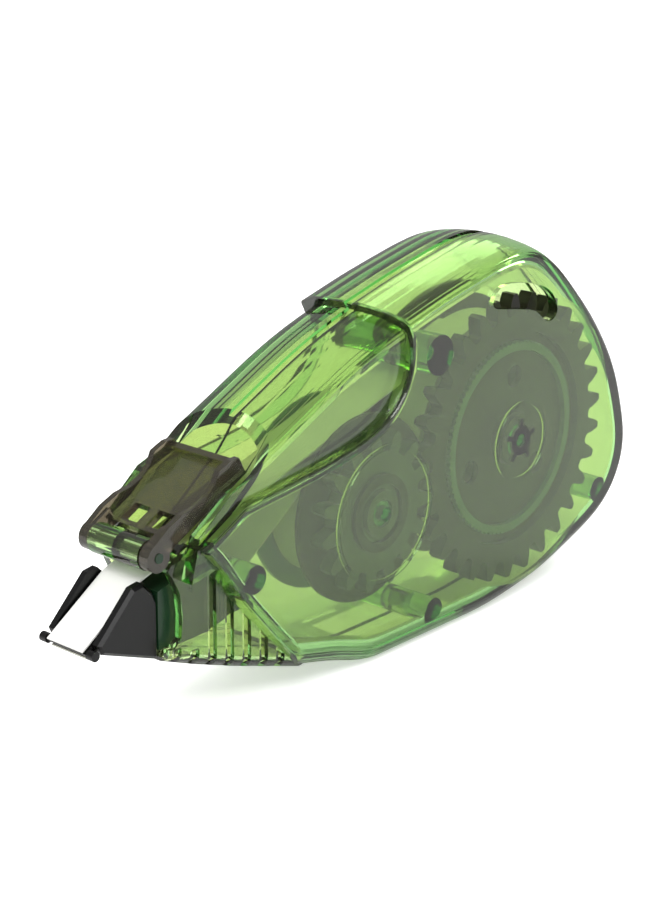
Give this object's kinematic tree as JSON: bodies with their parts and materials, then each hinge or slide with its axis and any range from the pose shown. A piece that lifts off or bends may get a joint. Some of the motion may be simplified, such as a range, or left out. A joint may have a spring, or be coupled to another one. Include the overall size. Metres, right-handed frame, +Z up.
{
  "type": "correction tape roller",
  "caption": "Hand-held tape dispenser: clear teardrop case, geared supply and take-up reels, blade tip and flip-back cap.",
  "frame": {"origin": "middle of the flat patch under the belly that the roller rests on, on the plane where the case halves meet", "axes": "+X to the rear (nose at -X), +Z up, +Y to the right case half"},
  "size_m": [0.0829, 0.015, 0.0418],
  "materials": {
    "green_clear": "clear tinted injection-moulded plastic",
    "smoke_clear": "smoky clear plastic",
    "dark_green_plastic": "glossy moulded plastic",
    "black_plastic": "satin moulded plastic",
    "charcoal_plastic": "satin moulded plastic",
    "grey_green_plastic": "satin moulded plastic",
    "pale_plastic": "natural acetal",
    "white_tape": "matt coated tape",
    "liner_paper": "matt paper liner"
  },
  "bodies": {
    "case": {"left_case": "green_clear", "right_case": "green_clear", "tip_head": "black_plastic", "applicator_blade": "black_plastic", "head_mount": "dark_green_plastic", "head_pin": "dark_green_plastic", "axle_clip": "black_plastic", "supply_washer": "pale_plastic", "supply_tape_run": "white_tape", "return_tape_run": "liner_paper"},
    "cap": {"flip_cap": "smoke_clear", "cap_hinge_pin": "dark_green_plastic"},
    "supply_drive": {"supply_gear": "charcoal_plastic", "ratchet_ring": "grey_green_plastic", "clutch_spring": "pale_plastic"},
    "supply_spool": {"supply_reel": "grey_green_plastic", "supply_tape_roll": "white_tape"},
    "take_up": {"take_up_gear": "charcoal_plastic", "take_up_bush": "black_plastic", "take_up_near_flange": "charcoal_plastic", "take_up_reel": "charcoal_plastic", "take_up_tape_roll": "liner_paper"}
  },
  "joints": [
    {"name": "cap_flip", "type": "hinge", "parent": "case", "child": "cap", "pos_m": [-0.0397, 0, 0.01949], "axis": [0, -1, 0], "range_deg": [0, 183]},
    {"name": "supply_gear_spin", "type": "hinge", "parent": "case", "child": "supply_drive", "pos_m": [0.014, 0, 0.0189], "axis": [0, 1, 0], "continuous": true},
    {"name": "supply_spool_spin", "type": "hinge", "parent": "case", "child": "supply_spool", "pos_m": [0.014, 0, 0.0189], "axis": [0, 1, 0], "continuous": true},
    {"name": "take_up_spin", "type": "hinge", "parent": "case", "child": "take_up", "pos_m": [-0.00925, 0, 0.01629], "axis": [0, 1, 0], "continuous": true}
  ],
  "couplings": [
    {"joint": "take_up_spin", "follows": "supply_gear_spin", "ratio": -2},
    {"joint": "supply_spool_spin", "follows": "supply_gear_spin", "ratio": 1}
  ]
}
